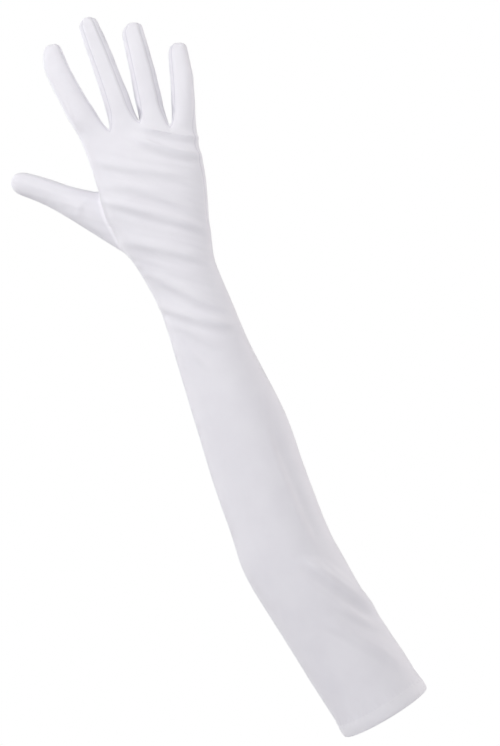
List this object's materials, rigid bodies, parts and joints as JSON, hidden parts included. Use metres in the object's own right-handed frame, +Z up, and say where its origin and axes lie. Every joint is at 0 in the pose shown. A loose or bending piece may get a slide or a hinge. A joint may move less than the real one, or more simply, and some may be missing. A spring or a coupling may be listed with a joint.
{
  "type": "long glove",
  "caption": "Elbow-length stretch dress glove for the right hand, in the shape of the arm that wears it, with four finger stalls, a set-in thumb and a hemmed open cuff.",
  "frame": {"origin": "middle of the cuff's open lower end", "axes": "+Z up the forearm to the fingertips, -Y to the side of the back of the hand, +Y to the palm's side, +X to the little finger's side"},
  "size_m": [0.1593, 0.0768, 0.5744],
  "materials": {
    "glove_cloth": "white matte satin stretch knit",
    "side_strip": "the same knit, as strips between the fingers",
    "hem": "the same knit, folded double and stitched"
  },
  "bodies": {
    "root": {"cuff_hem": "hem", "arm_sleeve": "glove_cloth", "hand": "glove_cloth", "index_finger": "glove_cloth", "middle_finger": "glove_cloth", "ring_finger": "glove_cloth", "little_finger": "glove_cloth", "fourchette_index_middle": "side_strip", "fourchette_middle_ring": "side_strip", "fourchette_ring_little": "side_strip", "thumb": "glove_cloth"}
  },
  "joints": []
}
